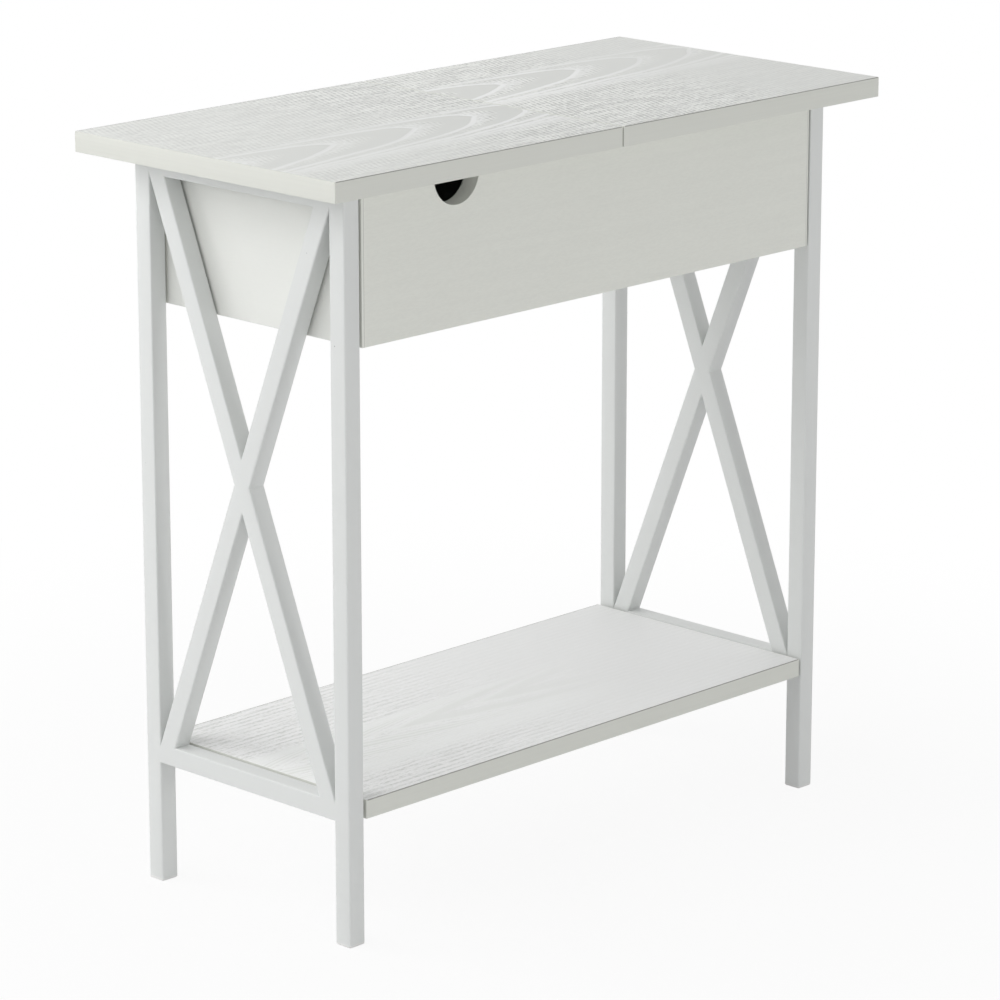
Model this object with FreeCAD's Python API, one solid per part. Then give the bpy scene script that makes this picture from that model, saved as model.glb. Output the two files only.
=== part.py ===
import FreeCAD, Part
import math
import os

# A narrow end table. Two welded tube frames with X braces carry a storage box, a low shelf and a top
# that is split across the middle: the left half is a lid on two rear hinges, the right half is fixed.
# Millimetres, +Z up, +X along the length, the front faces -Y. The origin is on the floor under the middle.

# Top
TOP_LENGTH = 610.0
TOP_DEPTH = 286.0
TOP_THICKNESS = 16.0
TABLE_HEIGHT = 603.0
SEAM_GAP = 1.2
END_OVERHANG = 35.0
SIDE_OVERHANG = 28.0
ARRIS = 0.5

# End frames of square tube
TUBE = 16.0
TUBE_WALL = 1.2
TUBE_CORNER = 1.5
LOWER_RAIL_TOP = 115.0
FOOT_FLANGE = 2.0
FOOT_PLUG = 14.0
FOOT_CHAMFER = 0.8

# Storage box
BOARD = 15.0
BOX_HEIGHT = 120.0
BOX_GAP = 2.2
FLOOR_THICKNESS = 5.0
FLOOR_RISE = 8.0
GROOVE_DEPTH = 5.0
NOTCH_RADIUS = 24.0
NOTCH_SIDE = 2.5

# Shelf and the angle brackets under its ends
SHELF_THICKNESS = 15.0
BRACKET_STEEL = 2.0
BRACKET_WIDTH = 30.0
BRACKET_REACH = 24.0
BRACKET_HEIGHT = 12.0
BRACKET_INSET = 45.0
BRACKET_FOLD = 1.8
SHELF_SCREW_RADIUS = 2.0
SHELF_SCREW_BITE = 11.0
SHELF_SCREW_HEAD = 4.0
SHELF_SCREW_CROWN = 2.8
SHELF_SCREW_HEAD_HEIGHT = 2.4

# Bolts from inside the box into threaded inserts in the tubes
BOLT_RADIUS = 3.0
BOLT_REACH = 8.5
BOLT_HEAD_RADIUS = 5.2
BOLT_HEAD_HEIGHT = 3.2
BOLT_CROWN_RADIUS = 2.9
BOLT_RIM = 1.2
BOLT_SOCKET = 4.0
BOLT_SOCKET_DEPTH = 2.0
WASHER_RADIUS = 6.5
WASHER_STEEL = 1.2
INSERT_RADIUS = 4.5
INSERT_FLANGE = 6.0
INSERT_LENGTH = 10.0
RAIL_BOLT_SPREAD = 120.0
BRACE_BOLT_RISE = 24.0

# Cam fittings and dowels that join the boards
CAM_RADIUS = 7.5
CAM_BELOW = 4.5
CAM_SETBACK = 24.0
CAM_BOLT_RADIUS = 3.0
CAM_NECK_RADIUS = 1.6
CAM_NECK_LENGTH = 3.0
CAM_HEAD_LENGTH = 3.0
CAM_SCREW_DEPTH = 11.0
CAM_SLOT_WIDTH = 1.2
CAM_SLOT_LENGTH = 8.0
CAM_SLOT_DEPTH = 1.5
DOWEL_RADIUS = 4.0
DOWEL_SHORT_END = 10.0
DOWEL_LONG_END = 20.0
DOWEL_INSET = 25.0

# Butt hinges under the rear overhang of the lid
HINGE_LENGTH = 50.0
HINGE_INSET = 10.0
HINGE_STEEL = 1.2
HINGE_CORNER = 3.0
HINGE_MARGIN = 4.7
KNUCKLE_RADIUS = 3.0
KNUCKLE_COUNT = 5
PIN_RADIUS = 1.5
PIN_HEAD_RADIUS = 2.2
PIN_HEAD_LENGTH = 0.8
HINGE_SCREW_RADIUS = 1.5
HINGE_SCREW_HEAD = 2.9
HINGE_SCREW_SINK = 1.4
HINGE_SCREW_LENGTH = 12.0
HINGE_SCREW_TIP = 2.0
HINGE_SCREW_SPREAD = 32.0

# Clearances, and how far a cutter runs past the face that it opens
FIT = 0.1
BOLT_FIT = 0.25
FLOOR_FIT = 0.3
SHELF_FIT = 0.5
PIN_FIT = 0.05
KNUCKLE_FIT = 0.3
OVERRUN = 1.0

# Planes that follow from the sizes above
HALF_LENGTH = TOP_LENGTH / 2
HALF_DEPTH = TOP_DEPTH / 2
TOP_UNDER = TABLE_HEIGHT - TOP_THICKNESS
FRAME_X = HALF_LENGTH - END_OVERHANG - TUBE / 2
FRAME_X_IN = FRAME_X - TUBE / 2
FRAME_Y_OUT = HALF_DEPTH - SIDE_OVERHANG
FRAME_Y = FRAME_Y_OUT - TUBE / 2
FRAME_Y_IN = FRAME_Y - TUBE / 2
BOX_X_OUT = FRAME_X_IN - BOX_GAP
BOX_X_MID = BOX_X_OUT - BOARD / 2
BOX_X_IN = BOX_X_OUT - BOARD
BOX_Y_OUT = FRAME_Y_OUT
BOX_Y_IN = BOX_Y_OUT - BOARD
BOX_BOTTOM = TOP_UNDER - BOX_HEIGHT
BOX_MIDDLE = TOP_UNDER - BOX_HEIGHT / 2
SHELF_UNDER = LOWER_RAIL_TOP - SHELF_THICKNESS
TOP_RAIL_UNDER = TOP_UNDER - TUBE
LID_MIDDLE = -(HALF_LENGTH + SEAM_GAP / 2) / 2

# Braces lean so that each one's outer side runs into the inner corners of the frame
BRACE_SPAN = 2 * FRAME_Y_IN
BRACE_RISE = TOP_RAIL_UNDER - LOWER_RAIL_TOP
BRACE_MIDDLE = (TOP_RAIL_UNDER + LOWER_RAIL_TOP) / 2
BRACE_LEAN = math.acos(TUBE / math.hypot(BRACE_SPAN, BRACE_RISE)) - math.atan2(BRACE_RISE, BRACE_SPAN)

# The hinge axis stands off the rear panel and the lid by the knuckle and its clearance
HINGE_OFFSET = KNUCKLE_RADIUS + KNUCKLE_FIT
HINGE_Y = BOX_Y_OUT + HINGE_OFFSET
HINGE_Z = TOP_UNDER - HINGE_OFFSET
HINGE_LEAF = SIDE_OVERHANG - HINGE_OFFSET - HINGE_MARGIN

SIDES = {"left": -1, "right": 1}
ENDS = {"front": -1, "rear": 1}
X_AXIS = FreeCAD.Vector(1, 0, 0)
Y_AXIS = FreeCAD.Vector(0, 1, 0)
Z_AXIS = FreeCAD.Vector(0, 0, 1)


def point(x, y, z):
    return FreeCAD.Vector(x, y, z)


def box(x0, x1, y0, y1, z0, z1):
    """A plain block between two values on each axis."""
    return Part.makeBox(x1 - x0, y1 - y0, z1 - z0, point(x0, y0, z0))


def board(x0, x1, y0, y1, z0, z1):
    """A board with every edge taken off by the arris."""
    block = box(x0, x1, y0, y1, z0, z1)
    return block.makeChamfer(ARRIS, block.Edges)


def rod(radius, length, start, direction):
    return Part.makeCylinder(radius, length, start, direction)


def turned(profile, start, direction):
    """A revolved solid: (radius, height) points spun round an axis from start along direction."""
    corners = [point(radius, 0, height) for radius, height in profile]
    face = Part.Face(Part.makePolygon(corners + corners[:1]))
    solid = face.revolve(point(0, 0, 0), Z_AXIS, 360)
    solid.Placement = FreeCAD.Placement(start, FreeCAD.Rotation(Z_AXIS, direction))
    return solid


def cut_all(shape, cutters):
    return shape.cut(Part.makeCompound(cutters)) if cutters else shape


# End frames


def tube_bar(length):
    """The outside of a tube along Z: a square bar with rounded corners."""
    bar = box(-TUBE / 2, TUBE / 2, -TUBE / 2, TUBE / 2, 0, length)
    upright = [edge for edge in bar.Edges if edge.BoundBox.ZLength > length / 2]
    return bar.makeFillet(TUBE_CORNER, upright)


def tube_bore(length):
    half = TUBE / 2 - TUBE_WALL
    return box(-half, half, -half, half, 0, length)


def leaning(shape, length, lean, x):
    """Centre a shape of the given length on the crossing of the braces and lean it towards +Y."""
    shape.translate(point(0, 0, -length / 2))
    shape.rotate(point(0, 0, 0), X_AXIS, -math.degrees(lean))
    shape.translate(point(x, 0, BRACE_MIDDLE))
    return shape


def leg(x, y):
    """A leg tube, closed at the top and open below for its foot."""
    length = TOP_UNDER - FOOT_FLANGE
    tube = tube_bar(length).cut(tube_bore(length - TUBE_WALL))
    tube.translate(point(x, y, FOOT_FLANGE))
    return tube


def rail(x, z):
    """A cross tube between the two legs of a frame, centred at height z."""
    tube = tube_bar(BRACE_SPAN).cut(tube_bore(BRACE_SPAN))
    tube.rotate(point(0, 0, 0), X_AXIS, -90)
    tube.translate(point(x, -BRACE_SPAN / 2, z))
    return tube


def brace_pieces(x, side):
    """The long brace and the two halves of the other one, cut to the rails and to each other."""
    length = BRACE_SPAN + BRACE_RISE
    window = box(x - TUBE, x + TUBE, -BRACE_SPAN, BRACE_SPAN, LOWER_RAIL_TOP, TOP_RAIL_UNDER)
    lean = side * BRACE_LEAN
    tubes = [leaning(tube_bar(length).cut(tube_bore(length)), length, way * lean, x) for way in (1, -1)]
    long_brace, crossed = [tube.common(window) for tube in tubes]
    half = TUBE / 2
    crossing = leaning(box(-TUBE, TUBE, -half, half, 0, length), length, lean, x)
    lower, upper = sorted(crossed.cut(crossing).Solids, key=lambda solid: solid.CenterOfMass.z)
    return {"brace_long": long_brace.Solids[0], "brace_upper": upper, "brace_lower": lower}


def foot(x, y):
    """A plastic plug with a flange as wide as the leg and a body that fits its bore."""
    half = TUBE / 2 - TUBE_WALL - FIT
    flange = tube_bar(FOOT_FLANGE)
    sole = [edge for edge in flange.Edges if edge.BoundBox.ZMax < FOOT_FLANGE / 2]
    plug = box(-half, half, -half, half, FOOT_FLANGE, FOOT_FLANGE + FOOT_PLUG)
    lead = [edge for edge in plug.Edges if edge.BoundBox.ZMin > FOOT_FLANGE + FOOT_PLUG / 2]
    shape = flange.makeChamfer(FOOT_CHAMFER, sole).fuse(plug.makeChamfer(FOOT_CHAMFER, lead))
    shape.translate(point(x, y, 0))
    return shape


def frame_bolt_places():
    """(y, z) of the bolts at one end: two into the top rail and two into the braces."""
    rail_z = TOP_UNDER - TUBE / 2
    brace_z = BOX_BOTTOM + BRACE_BOLT_RISE
    brace_y = (brace_z - BRACE_MIDDLE) * math.tan(BRACE_LEAN)
    return [(way * y, z) for y, z in ((RAIL_BOLT_SPREAD / 2, rail_z), (brace_y, brace_z)) for way in (-1, 1)]


def insert_holes(side):
    """Holes for the threaded inserts through the inner wall of the tubes at one end."""
    start = side * (FRAME_X_IN - OVERRUN)
    depth = TUBE_WALL + 2 * OVERRUN
    radius = INSERT_RADIUS + FIT
    return [rod(radius, depth, point(start, y, z), X_AXIS * side) for y, z in frame_bolt_places()]


def end_frame(name, side):
    """The tubes and feet of one end frame, by node name."""
    x = side * FRAME_X
    tubes = {f"{end}_leg": leg(x, way * FRAME_Y) for end, way in ENDS.items()}
    tubes["top_rail"] = rail(x, TOP_UNDER - TUBE / 2)
    tubes["lower_rail"] = rail(x, LOWER_RAIL_TOP - TUBE / 2)
    tubes.update(brace_pieces(x, side))
    holes = insert_holes(side)
    for piece in ("top_rail", "brace_long", "brace_upper"):
        tubes[piece] = cut_all(tubes[piece], holes)
    feet = {f"{end}_foot": foot(x, way * FRAME_Y) for end, way in ENDS.items()}
    return {f"{name}_{piece}": shape for piece, shape in {**tubes, **feet}.items()}


# Bolts that hold the box to the frames


def frame_fixing(side, y, z):
    """An insert, its washer and its bolt at one place, along X from inside the box."""
    out = X_AXIS * side
    seat = point(side * FRAME_X_IN, y, z)
    inner = point(side * BOX_X_IN, y, z)
    bore = BOLT_RADIUS + FIT
    insert = turned([(bore, -BOX_GAP), (INSERT_FLANGE, -BOX_GAP), (INSERT_FLANGE, 0), (INSERT_RADIUS, 0),
                     (INSERT_RADIUS, INSERT_LENGTH), (bore, INSERT_LENGTH)], seat, out)
    washer = turned([(BOLT_RADIUS + FIT, -WASHER_STEEL), (WASHER_RADIUS, -WASHER_STEEL),
                     (WASHER_RADIUS, 0), (BOLT_RADIUS + FIT, 0)], inner, out)
    under_head = -WASHER_STEEL
    tip = BOARD + BOX_GAP + BOLT_REACH
    crown = under_head - BOLT_HEAD_HEIGHT
    bolt = turned([(0, crown), (BOLT_CROWN_RADIUS, crown), (BOLT_HEAD_RADIUS, under_head - BOLT_RIM),
                   (BOLT_HEAD_RADIUS, under_head), (BOLT_RADIUS, under_head), (BOLT_RADIUS, tip), (0, tip)],
                  inner, out)
    hexagon = [point(BOLT_SOCKET / math.sqrt(3) * math.cos(turn * math.pi / 3),
                     BOLT_SOCKET / math.sqrt(3) * math.sin(turn * math.pi / 3), crown) for turn in range(6)]
    socket = Part.Face(Part.makePolygon(hexagon + hexagon[:1])).extrude(Z_AXIS * BOLT_SOCKET_DEPTH)
    socket.Placement = FreeCAD.Placement(inner, FreeCAD.Rotation(Z_AXIS, out))
    return {"frame_inserts": insert, "frame_washers": washer, "frame_bolts": bolt.cut(socket)}


def frame_fixings():
    """All inserts, washers and bolts, as one group each."""
    groups = {"frame_inserts": [], "frame_washers": [], "frame_bolts": []}
    for side in SIDES.values():
        for y, z in frame_bolt_places():
            for node, solid in frame_fixing(side, y, z).items():
                groups[node].append(solid)
    return groups


def bolt_holes(side):
    """Through holes in an end panel for the frame bolts."""
    start = side * (BOX_X_IN - OVERRUN)
    radius = BOLT_RADIUS + BOLT_FIT
    depth = BOARD + 2 * OVERRUN
    return [rod(radius, depth, point(start, y, z), X_AXIS * side) for y, z in frame_bolt_places()]


# Cam fittings and dowels


def cam_joint(seat, along, inward):
    """One cam fitting and its holes.

    The seat is where two boards meet, along points into the board that holds the cam, and inward points
    from the middle of that board to the face the cam is let into.
    """
    centre = seat + along * CAM_SETBACK
    mouth = centre + inward * (BOARD / 2)
    depth = BOARD / 2 + CAM_BELOW
    channel_start = centre - along * (CAM_RADIUS + OVERRUN)
    head_end = CAM_SETBACK + CAM_HEAD_LENGTH / 2
    neck_end = head_end - CAM_HEAD_LENGTH
    neck_start = neck_end - CAM_NECK_LENGTH
    bolt = turned([(0, -CAM_SCREW_DEPTH), (CAM_BOLT_RADIUS, -CAM_SCREW_DEPTH), (CAM_BOLT_RADIUS, neck_start),
                   (CAM_NECK_RADIUS, neck_start), (CAM_NECK_RADIUS, neck_end), (CAM_BOLT_RADIUS, neck_end),
                   (CAM_BOLT_RADIUS, head_end), (0, head_end)], seat, along)
    channel = rod(CAM_BOLT_RADIUS + FIT, CAM_RADIUS + OVERRUN + CAM_HEAD_LENGTH, channel_start, along)
    bars = []
    for turn in (0, 90):
        bar = box(-CAM_SLOT_LENGTH / 2, CAM_SLOT_LENGTH / 2, -CAM_SLOT_WIDTH / 2, CAM_SLOT_WIDTH / 2,
                  -CAM_SLOT_DEPTH, CAM_SLOT_DEPTH)
        bar.rotate(point(0, 0, 0), Z_AXIS, turn)
        bar.Placement = FreeCAD.Placement(mouth, FreeCAD.Rotation(Z_AXIS, inward)).multiply(bar.Placement)
        bars.append(bar)
    cam = cut_all(rod(CAM_RADIUS, depth, mouth, inward * -1), [channel] + bars)
    pocket = rod(CAM_RADIUS + FIT, depth + FIT, mouth, inward * -1)
    bore = rod(CAM_BOLT_RADIUS + FIT, CAM_SETBACK, seat, along)
    hole = rod(CAM_BOLT_RADIUS + FIT, CAM_SCREW_DEPTH + FIT, seat, along * -1)
    return {"cam": cam, "bolt": bolt, "holder_cut": [pocket, bore], "bolt_cut": [hole]}


def dowel_joint(seat, along):
    """One dowel across a joint, with its hole."""
    start = seat - along * DOWEL_SHORT_END
    length = DOWEL_SHORT_END + DOWEL_LONG_END
    peg = rod(DOWEL_RADIUS, length, start, along)
    hole = rod(DOWEL_RADIUS + FIT, length + 2 * FIT, start - along * FIT, along)
    return {"dowel": peg, "cut": hole}


def corner_joints(side, way):
    """The cam and the two dowels where a front or rear panel meets an end panel."""
    along = Y_AXIS * -way
    seats = [point(side * BOX_X_MID, way * BOX_Y_IN, z)
             for z in (BOX_MIDDLE, BOX_BOTTOM + DOWEL_INSET, TOP_UNDER - DOWEL_INSET)]
    cam = cam_joint(seats[0], along, X_AXIS * -side)
    return cam, [dowel_joint(seat, along) for seat in seats[1:]]


def top_joints():
    """The cams that hold the fixed half of the top, by the panel that they are let into."""
    down = Z_AXIS * -1
    mid_y = BOX_Y_OUT - BOARD / 2
    return {"front": cam_joint(point(-LID_MIDDLE, -mid_y, TOP_UNDER), down, Y_AXIS),
            "rear": cam_joint(point(-LID_MIDDLE, mid_y, TOP_UNDER), down, Y_AXIS * -1),
            "right": cam_joint(point(BOX_X_MID, 0, TOP_UNDER), down, X_AXIS * -1)}


# Boards


def floor_groove(x0, x1, y0, y1):
    """The groove that takes the edge of the box floor."""
    low = BOX_BOTTOM + FLOOR_RISE
    return box(x0, x1, y0, y1, low, low + FLOOR_THICKNESS + FLOOR_FIT)


def finger_notch():
    """A notch with short straight sides and a half-round bottom, through the front panel."""
    centre_z = TOP_UNDER - NOTCH_SIDE
    left, right = LID_MIDDLE - NOTCH_RADIUS, LID_MIDDLE + NOTCH_RADIUS
    over = TOP_UNDER + OVERRUN
    y = -BOX_Y_OUT - OVERRUN
    corners = [point(x, y, z) for x, z in ((left, centre_z), (left, over), (right, over), (right, centre_z))]
    bottom = Part.Arc(corners[3], point(LID_MIDDLE, y, centre_z - NOTCH_RADIUS), corners[0]).toShape()
    sides = [Part.LineSegment(a, b).toShape() for a, b in zip(corners, corners[1:])]
    return Part.Face(Part.Wire(sides + [bottom])).extrude(Y_AXIS * (BOARD + 2 * OVERRUN))


def long_panel(way, cutters):
    """The front (-1) or rear (+1) panel of the box."""
    y0, y1 = sorted((way * BOX_Y_OUT, way * BOX_Y_IN))
    groove_x = BOX_X_IN + GROOVE_DEPTH
    groove_y = sorted((way * BOX_Y_IN, way * (BOX_Y_IN + GROOVE_DEPTH)))
    panel = board(-BOX_X_OUT, BOX_X_OUT, y0, y1, BOX_BOTTOM, TOP_UNDER)
    return cut_all(panel, cutters + [floor_groove(-groove_x, groove_x, *groove_y)])


def end_panel(side, cutters):
    """The left (-1) or right (+1) panel of the box, between the long panels."""
    x0, x1 = sorted((side * BOX_X_OUT, side * BOX_X_IN))
    groove_x = sorted((side * BOX_X_IN, side * (BOX_X_IN + GROOVE_DEPTH)))
    panel = board(x0, x1, -BOX_Y_IN, BOX_Y_IN, BOX_BOTTOM, TOP_UNDER)
    return cut_all(panel, cutters + bolt_holes(side) + [floor_groove(*groove_x, -BOX_Y_IN, BOX_Y_IN)])


def box_floor():
    x = BOX_X_IN + GROOVE_DEPTH - FLOOR_FIT
    y = BOX_Y_IN + GROOVE_DEPTH - FLOOR_FIT
    low = BOX_BOTTOM + FLOOR_RISE
    return box(-x, x, -y, y, low, low + FLOOR_THICKNESS)


def box_and_fixed_top():
    """The boards of the box and the fixed half of the top, with their cam fittings and dowels."""
    cuts = {name: [] for name in ("front", "rear", "left", "right", "top")}
    cams, dowels = [], []
    for end, way in ENDS.items():
        for name, side in SIDES.items():
            cam, pegs = corner_joints(side, way)
            cams.append(cam)
            dowels += pegs
            peg_holes = [peg["cut"] for peg in pegs]
            cuts[end] += cam["bolt_cut"] + peg_holes
            cuts[name] += cam["holder_cut"] + peg_holes
    for name, cam in top_joints().items():
        cams.append(cam)
        cuts[name] += cam["holder_cut"]
        cuts["top"] += cam["bolt_cut"]
    cuts["front"].append(finger_notch())
    cuts["rear"] += [screw for x in hinge_places() for screw in hinge_screws(x, "box", FIT)]
    top = board(SEAM_GAP / 2, HALF_LENGTH, -HALF_DEPTH, HALF_DEPTH, TOP_UNDER, TABLE_HEIGHT)
    nodes = {f"{end}_panel": long_panel(way, cuts[end]) for end, way in ENDS.items()}
    nodes.update({f"{name}_end_panel": end_panel(side, cuts[name]) for name, side in SIDES.items()})
    nodes["box_floor"] = box_floor()
    nodes["fixed_top"] = cut_all(top, cuts["top"])
    groups = {"cam_locks": [cam["cam"] for cam in cams], "cam_bolts": [cam["bolt"] for cam in cams],
              "dowels": [peg["dowel"] for peg in dowels]}
    return nodes, groups


def lid():
    cutters = [screw for x in hinge_places() for screw in hinge_screws(x, "lid", FIT)]
    panel = board(-HALF_LENGTH, -SEAM_GAP / 2, -HALF_DEPTH, HALF_DEPTH, TOP_UNDER, TABLE_HEIGHT)
    return cut_all(panel, cutters)


# Shelf


def bracket_places(side):
    """(x, y) where a bracket's upright stands against the lower rail."""
    return [(side * FRAME_X_IN, way * (FRAME_Y_IN - BRACKET_INSET)) for way in ENDS.values()]


def shelf_bracket(x, y, side):
    """A folded steel angle: an upright on the rail and a foot under the shelf."""
    under = SHELF_UNDER - BRACKET_STEEL
    outline = [(0, under), (BRACKET_REACH, under), (BRACKET_REACH, SHELF_UNDER), (BRACKET_STEEL, SHELF_UNDER),
               (BRACKET_STEEL, SHELF_UNDER + BRACKET_HEIGHT), (0, SHELF_UNDER + BRACKET_HEIGHT)]
    corners = [point(x - side * reach, y - BRACKET_WIDTH / 2, z) for reach, z in outline]
    angle = Part.Face(Part.makePolygon(corners + corners[:1])).extrude(Y_AXIS * BRACKET_WIDTH)
    fold = [edge for edge in angle.Edges
            if edge.BoundBox.YLength > BRACKET_STEEL and edge.BoundBox.ZMax < SHELF_UNDER - BRACKET_STEEL / 2
            and abs(edge.CenterOfMass.x - x) < BRACKET_STEEL / 2]
    return angle.makeFillet(BRACKET_FOLD, fold)


def shelf_screw(x, y, grow):
    """A pan-head screw up through a bracket into the shelf; grow widens it into its hole."""
    head_top = SHELF_UNDER - BRACKET_STEEL
    radius = SHELF_SCREW_RADIUS + grow
    tip = BRACKET_STEEL + SHELF_SCREW_BITE + grow
    profile = [(0, -SHELF_SCREW_HEAD_HEIGHT), (SHELF_SCREW_CROWN, -SHELF_SCREW_HEAD_HEIGHT),
               (SHELF_SCREW_HEAD, -SHELF_SCREW_HEAD_HEIGHT / 2), (SHELF_SCREW_HEAD, 0), (radius, 0),
               (radius, tip), (0, tip)]
    return turned(profile, point(x, y, head_top), Z_AXIS)


def shelf_and_brackets():
    """The shelf board, its brackets by side and its screws."""
    shelf_x = FRAME_X_IN - BRACKET_STEEL - SHELF_FIT
    shelf = board(-shelf_x, shelf_x, -FRAME_Y_OUT, FRAME_Y_OUT, SHELF_UNDER, LOWER_RAIL_TOP)
    groups = {"shelf_screws": []}
    holes = []
    for name, side in SIDES.items():
        brackets = []
        for x, y in bracket_places(side):
            screw_x = x - side * (BRACKET_STEEL + BRACKET_REACH) / 2
            hole = shelf_screw(screw_x, y, FIT)
            brackets.append(shelf_bracket(x, y, side).cut(hole))
            holes.append(hole)
            groups["shelf_screws"].append(shelf_screw(screw_x, y, 0))
        groups[f"{name}_shelf_brackets"] = brackets
    return {"shelf": cut_all(shelf, holes)}, groups


# Hinges


def hinge_places():
    """The x of the middle of each hinge, alike to both sides of the middle of the lid."""
    first = -BOX_X_OUT + HINGE_INSET + HINGE_LENGTH / 2
    return [first, 2 * LID_MIDDLE - first]


def knuckles(parity, radius, grow):
    """Rods along the hinge axis for every other knuckle; grow lengthens each at both ends."""
    pitch = HINGE_LENGTH / KNUCKLE_COUNT
    rods = []
    for index in range(parity, KNUCKLE_COUNT, 2):
        start = -HINGE_LENGTH / 2 + index * pitch - grow
        rods.append(rod(radius, pitch + 2 * grow, point(start, 0, 0), X_AXIS))
    return rods


def hinge_leaf(part, x):
    """A leaf with its knuckles and countersunk holes: the box leaf hangs down, the lid leaf lies back."""
    half = HINGE_LENGTH / 2
    parity = {"box": 0, "lid": 1}[part]
    if part == "box":
        plate = box(-half, half, -HINGE_OFFSET, -HINGE_OFFSET + HINGE_STEEL, -HINGE_LEAF, 0)
        corners = [edge for edge in plate.Edges
                   if edge.BoundBox.YLength > HINGE_STEEL / 2 and edge.BoundBox.ZMax < -HINGE_LEAF / 2]
    else:
        plate = box(-half, half, 0, HINGE_LEAF, HINGE_OFFSET - HINGE_STEEL, HINGE_OFFSET)
        corners = [edge for edge in plate.Edges
                   if edge.BoundBox.ZLength > HINGE_STEEL / 2 and edge.BoundBox.YMin > HINGE_LEAF / 2]
    plate = plate.makeFillet(HINGE_CORNER, corners)
    plate = cut_all(plate, knuckles(1 - parity, KNUCKLE_RADIUS + KNUCKLE_FIT, KNUCKLE_FIT / 2))
    leaf = plate.multiFuse(knuckles(parity, KNUCKLE_RADIUS, -KNUCKLE_FIT / 2))
    leaf = leaf.cut(rod(PIN_RADIUS + PIN_FIT, HINGE_LENGTH, point(-half, 0, 0), X_AXIS))
    leaf.translate(point(x, HINGE_Y, HINGE_Z))
    return cut_all(leaf, hinge_screws(x, part, FIT))


def hinge_screws(x, part, grow):
    """The two countersunk screws of one leaf; grow widens them into their holes."""
    reach = (HINGE_OFFSET + HINGE_LEAF) / 2
    radius = HINGE_SCREW_RADIUS + grow
    profile = [(0, 0), (HINGE_SCREW_HEAD + grow, 0), (radius, HINGE_SCREW_SINK),
               (radius, HINGE_SCREW_LENGTH - HINGE_SCREW_TIP), (0, HINGE_SCREW_LENGTH + grow)]
    face = HINGE_OFFSET - HINGE_STEEL
    places = {"box": (HINGE_Y - face, HINGE_Z - reach, Y_AXIS * -1),
              "lid": (HINGE_Y + reach, HINGE_Z + face, Z_AXIS)}
    y, z, direction = places[part]
    return [turned(profile, point(x + way * HINGE_SCREW_SPREAD / 2, y, z), direction) for way in (-1, 1)]


def hinge_pin(x):
    """A pin with a small head at each end of the knuckles."""
    end = HINGE_LENGTH / 2
    tip = end + PIN_HEAD_LENGTH
    profile = [(0, -tip), (PIN_HEAD_RADIUS, -tip), (PIN_HEAD_RADIUS, -end), (PIN_RADIUS, -end),
               (PIN_RADIUS, end), (PIN_HEAD_RADIUS, end), (PIN_HEAD_RADIUS, tip), (0, tip)]
    return turned(profile, point(x, HINGE_Y, HINGE_Z), X_AXIS)


def hinges():
    """Leaves and pins by node name, and the screws as one group for the box and one for the lid."""
    nodes = {}
    groups = {"box_hinge_screws": [], "lid_hinge_screws": []}
    for name, x in zip(SIDES, hinge_places()):
        nodes[f"{name}_hinge_box_leaf"] = hinge_leaf("box", x)
        nodes[f"{name}_hinge_lid_leaf"] = hinge_leaf("lid", x)
        nodes[f"{name}_hinge_pin"] = hinge_pin(x)
        for part in ("box", "lid"):
            groups[f"{part}_hinge_screws"] += hinge_screws(x, part, 0)
    return nodes, groups


def main():
    nodes = {"lid": lid()}
    groups = frame_fixings()
    for name, side in SIDES.items():
        nodes.update(end_frame(name, side))
    for more_nodes, more_groups in (box_and_fixed_top(), shelf_and_brackets(), hinges()):
        nodes.update(more_nodes)
        groups.update(more_groups)
    nodes.update({name: Part.makeCompound(solids) for name, solids in groups.items()})
    os.makedirs("parts", exist_ok=True)
    for name, shape in nodes.items():
        shape.exportStep(f"parts/{name}.step")


main()
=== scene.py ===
import math
from collections import namedtuple

import bpy
import numpy as np
from mathutils.geometry import tessellate_polygon
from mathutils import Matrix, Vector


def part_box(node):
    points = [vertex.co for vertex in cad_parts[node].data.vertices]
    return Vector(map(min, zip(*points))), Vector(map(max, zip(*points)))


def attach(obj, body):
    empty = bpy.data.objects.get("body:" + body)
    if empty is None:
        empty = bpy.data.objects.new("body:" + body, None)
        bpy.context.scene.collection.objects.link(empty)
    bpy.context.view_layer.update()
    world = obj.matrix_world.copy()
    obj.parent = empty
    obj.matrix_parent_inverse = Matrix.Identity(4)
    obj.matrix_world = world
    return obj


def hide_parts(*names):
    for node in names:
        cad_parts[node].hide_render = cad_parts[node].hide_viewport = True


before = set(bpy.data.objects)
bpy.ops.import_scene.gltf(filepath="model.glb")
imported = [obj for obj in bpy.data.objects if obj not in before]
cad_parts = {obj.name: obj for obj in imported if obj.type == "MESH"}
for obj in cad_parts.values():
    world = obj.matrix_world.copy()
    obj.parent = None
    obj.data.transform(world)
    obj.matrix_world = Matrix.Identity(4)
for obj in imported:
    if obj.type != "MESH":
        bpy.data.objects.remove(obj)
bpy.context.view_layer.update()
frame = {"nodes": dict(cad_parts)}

bl_info = {
    "name": "Lift-top end table",
    "version": (1, 0, 0),
    "blender": (4, 5, 0),
    "location": "View3D > Sidebar > End Table",
    "description": "Dresses the solids of a narrow white end table with a lift-up lid",
    "category": "Object",
}

SIDES = ("left", "right")
TUBES = ("front_leg", "rear_leg", "top_rail", "lower_rail", "brace_long", "brace_upper", "brace_lower")
MM = 0.001

# The camera stands at the front left and looks down on the table
SENSOR = 36.0
LENS = 162.7
CAMERA_PLACE = (-2.5053, -2.4518, 1.2376)
CAMERA_TURN = math.radians(-45.75)
CAMERA_TILT = math.radians(15.28)

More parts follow.
